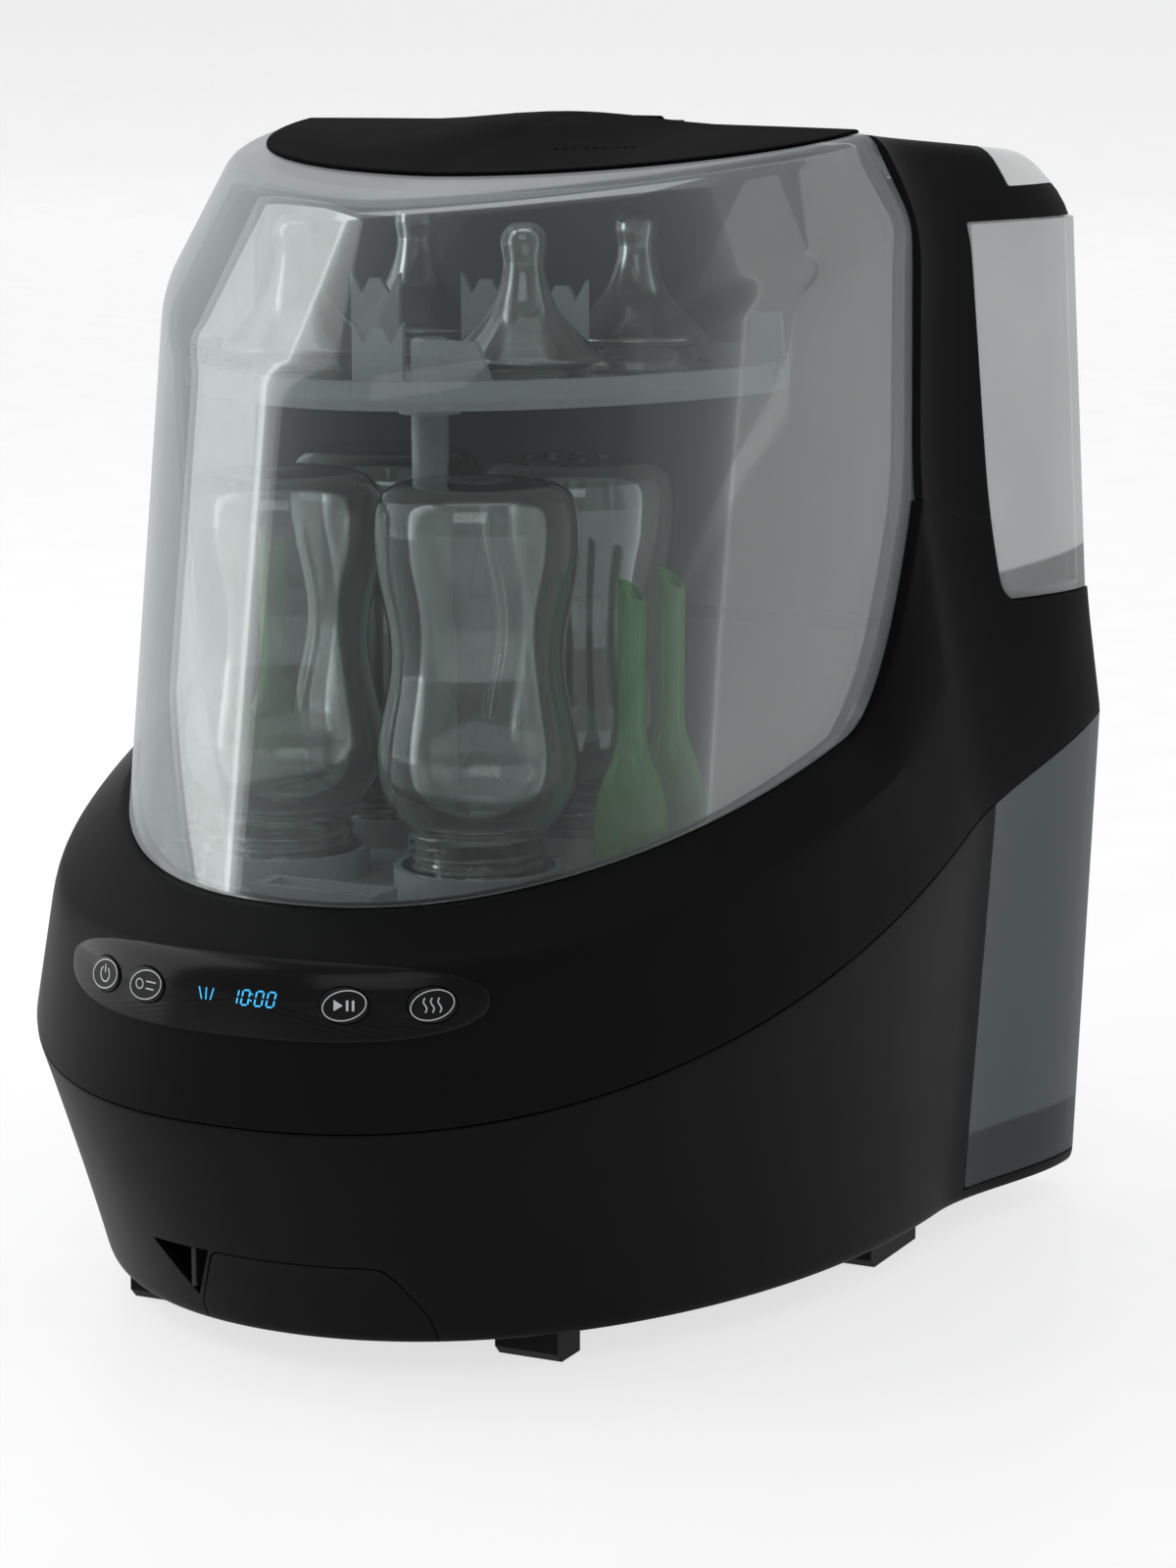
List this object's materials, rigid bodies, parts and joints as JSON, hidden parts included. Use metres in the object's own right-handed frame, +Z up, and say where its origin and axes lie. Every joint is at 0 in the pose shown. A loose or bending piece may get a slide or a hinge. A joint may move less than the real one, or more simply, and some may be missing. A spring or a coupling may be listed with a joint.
{
  "type": "bottle sterilizer",
  "caption": "Countertop washer, steriliser and dryer for feeding bottles, with a hinged clear dome over the wash chamber and water tanks at the back.",
  "frame": {"origin": "centre of the footprint, on the surface that the feet stand on", "axes": "+Z up, the front with the controls faces -Y, +X to the right as seen from the front"},
  "size_m": [0.322, 0.34, 0.3799],
  "materials": {
    "black_body": "satin",
    "black_satin": "satin",
    "smoked_clear": "gloss",
    "wall_plastic": "matte",
    "steel": "brushed",
    "tank_clear": "gloss",
    "flap_clear": "gloss",
    "tank_smoke": "gloss",
    "valve_grey": "matte",
    "panel_gloss": "gloss",
    "button_gloss": "gloss",
    "board_green": "satin",
    "rack_grey": "satin",
    "seal_rubber": "matte",
    "fan_white": "matte",
    "bottle_clear": "gloss",
    "teat_clear": "satin",
    "vent_green": "gloss"
  },
  "bodies": {
    "root": {"lower_housing": "black_body", "upper_housing": "black_satin", "rear_column": "black_satin", "base_plate": "black_body", "chamber_wall": "wall_plastic", "bay_wall": "wall_plastic", "hinge_pin": "steel", "hinge_brackets": "wall_plastic", "control_panel": "panel_gloss", "display_module": "wall_plastic", "display_board": "board_green", "finger_recess": "wall_plastic", "feet": "black_body", "base_screws": "steel", "wash_basin": "steel", "basin_seal": "seal_rubber", "sump": "wall_plastic", "sump_filter": "steel", "spray_manifold": "rack_grey", "feed_pipe": "rack_grey", "lower_rack": "rack_grey", "upper_rack": "rack_grey", "steam_heater": "steel", "wash_pump": "valve_grey", "wash_hose": "seal_rubber", "drain_pump": "valve_grey", "drain_hose": "seal_rubber", "inlet_pump": "valve_grey", "inlet_hose": "seal_rubber", "fan_housing": "valve_grey", "fan_motor": "steel", "air_filter": "fan_white", "drying_heater": "fan_white", "main_board": "board_green", "power_inlet": "wall_plastic", "bottle_1": "bottle_clear", "bottle_2": "bottle_clear", "bottle_3": "bottle_clear", "bottle_4": "bottle_clear", "teat_1": "teat_clear", "teat_2": "teat_clear", "teat_3": "teat_clear", "teat_4": "teat_clear", "vent_insert_1": "vent_green", "vent_insert_2": "vent_green", "vent_insert_3": "vent_green", "vent_insert_4": "vent_green"},
    "dome_assembly": {"dome": "smoked_clear", "dome_top_cover": "black_satin"},
    "fill_flap": {"fill_flap": "flap_clear"},
    "clean_tank": {"clean_tank": "tank_clear", "clean_tank_valve": "valve_grey"},
    "dirty_tank": {"dirty_tank": "tank_smoke"},
    "tank_float": {"tank_float": "valve_grey"},
    "service_cover": {"service_cover": "black_body"},
    "fan": {"fan_impeller": "fan_white"},
    "power_button": {"power_button": "button_gloss"},
    "mode_button": {"mode_button": "button_gloss"},
    "start_button": {"start_button": "button_gloss"},
    "steam_dry_button": {"steam_dry_button": "button_gloss"}
  },
  "joints": [
    {"name": "dome_hinge", "type": "hinge", "parent": "root", "child": "dome_assembly", "pos_m": [0, 0.084, 0.374], "axis": [-1, 0, 0], "range_deg": [0, 60]},
    {"name": "flap_hinge", "type": "hinge", "parent": "root", "child": "fill_flap", "pos_m": [0, 0.1656, 0.3554], "axis": [-1, 0, 0], "range_deg": [0, 80]},
    {"name": "clean_tank_slide", "type": "slide", "parent": "root", "child": "clean_tank", "axis": [0, 1, 0], "range_m": [0, 0.12]},
    {"name": "dirty_tank_slide", "type": "slide", "parent": "root", "child": "dirty_tank", "axis": [0, 1, 0], "range_m": [0, 0.12]},
    {"name": "float_slide", "type": "slide", "parent": "dirty_tank", "child": "tank_float", "axis": [0, 0, 1], "range_m": [0, 0.1]},
    {"name": "service_cover_slide", "type": "slide", "parent": "root", "child": "service_cover", "axis": [0, -1, 0], "range_m": [0, 0.03]},
    {"name": "fan_spin", "type": "hinge", "parent": "root", "child": "fan", "pos_m": [-0.048, 0.034, 0.05], "axis": [0, 0, 1], "continuous": true},
    {"name": "power_button_press", "type": "slide", "parent": "root", "child": "power_button", "axis": [0.434, 0.893, -0.1191], "range_m": [0, 0.0006], "stiffness_N_per_m": 400},
    {"name": "mode_button_press", "type": "slide", "parent": "root", "child": "mode_button", "axis": [0.25, 0.9609, -0.1191], "range_m": [0, 0.0006], "stiffness_N_per_m": 400},
    {"name": "start_button_press", "type": "slide", "parent": "root", "child": "start_button", "axis": [-0.3452, 0.9309, -0.1191], "range_m": [0, 0.0006], "stiffness_N_per_m": 400},
    {"name": "steam_dry_button_press", "type": "slide", "parent": "root", "child": "steam_dry_button", "axis": [-0.5638, 0.8172, -0.1192], "range_m": [0, 0.0006], "stiffness_N_per_m": 400}
  ]
}
